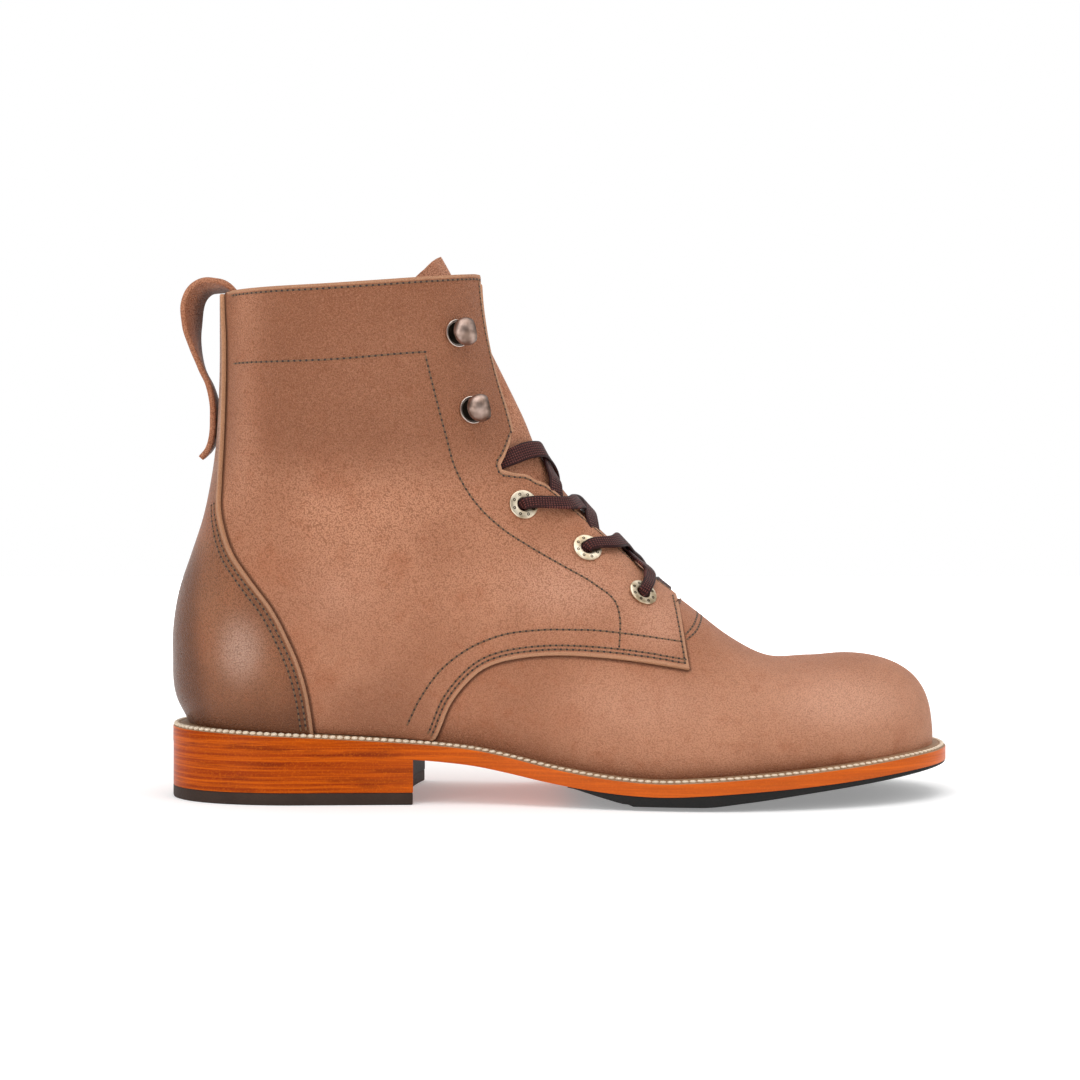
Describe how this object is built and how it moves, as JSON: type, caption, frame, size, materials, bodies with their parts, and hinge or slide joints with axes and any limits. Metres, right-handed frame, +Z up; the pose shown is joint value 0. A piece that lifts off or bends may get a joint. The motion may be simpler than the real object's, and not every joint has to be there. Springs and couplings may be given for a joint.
{
  "type": "lace-up leather boot",
  "caption": "Plain-toe leather ankle boot for the right foot, with a welted leather sole, stacked heel, rubber half sole, eyelets, speed hooks, a flat lace and a back pull loop.",
  "frame": {"origin": "middle of the boot's bounding box, on the floor under the sole", "axes": "+X towards the toe, +Y towards the inner (medial) side, +Z up"},
  "size_m": [0.3002, 0.105, 0.208],
  "materials": {
    "upper_leather": "waxed tan",
    "insole_leather": "plain",
    "welt_leather": "natural",
    "sole_leather": "dyed and polished edge",
    "half_sole_rubber": "matt",
    "lift_rubber": "matt",
    "lace_cord": "waxed",
    "eyelet_brass": "antique",
    "hook_brass": "antique"
  },
  "bodies": {
    "root": {"upper": "upper_leather", "heel_counter": "upper_leather", "tongue": "upper_leather", "pull_loop": "upper_leather", "insole": "insole_leather", "welt": "welt_leather", "outsole": "sole_leather", "heel_stack": "sole_leather", "forefoot_rubber": "half_sole_rubber", "top_lift": "lift_rubber", "lace_crossing_1": "lace_cord", "lace_crossing_2": "lace_cord", "lace_crossing_3": "lace_cord", "lace_bar": "lace_cord", "eyelet_lateral_1": "eyelet_brass", "eyelet_lateral_2": "eyelet_brass", "eyelet_lateral_3": "eyelet_brass", "eyelet_medial_1": "eyelet_brass", "eyelet_medial_2": "eyelet_brass", "eyelet_medial_3": "eyelet_brass", "hook_lateral_1": "hook_brass", "hook_lateral_2": "hook_brass", "hook_medial_1": "hook_brass", "hook_medial_2": "hook_brass"}
  },
  "joints": []
}
